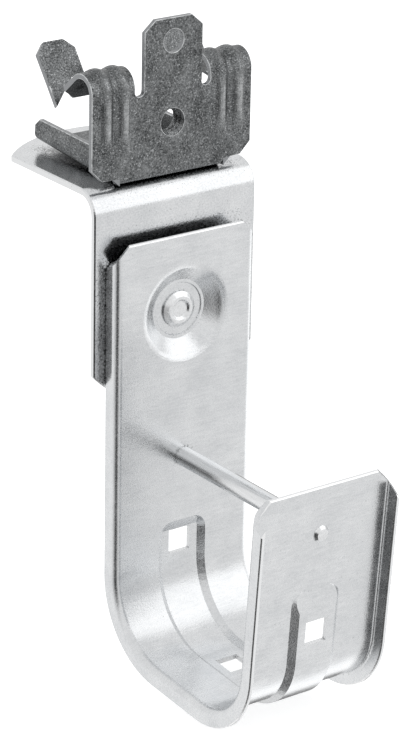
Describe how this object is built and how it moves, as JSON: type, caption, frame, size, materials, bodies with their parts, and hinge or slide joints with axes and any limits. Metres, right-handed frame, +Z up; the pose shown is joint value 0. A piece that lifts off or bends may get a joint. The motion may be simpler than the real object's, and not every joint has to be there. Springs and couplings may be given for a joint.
{
  "type": "j hook cable support",
  "caption": "Flanged J-shaped sheet-metal cable hook with a cross rod, riveted to an angle bracket that carries a toothed spring clip for the edge of a beam.",
  "frame": {"origin": "on the clip's seat: the middle of the beam flange's underside, on top of the jaw's side walls and below the tips of the teeth's bends", "axes": "+Z up with the hook hanging below, +Y into the beam away from the open side of the J, +X across the strip's width"},
  "size_m": [0.0448, 0.1045, 0.1532],
  "materials": {
    "zinc_sheet": "galvanised sheet, satin",
    "zinc_plate": "bright zinc plate",
    "spring_steel": "phosphated spring steel, dull"
  },
  "bodies": {
    "root": {"j_hook": "zinc_sheet", "angle_bracket": "zinc_sheet", "beam_clip": "spring_steel", "cross_rod": "zinc_plate", "hook_rivet": "zinc_plate", "clip_rivet": "zinc_plate"}
  },
  "joints": []
}
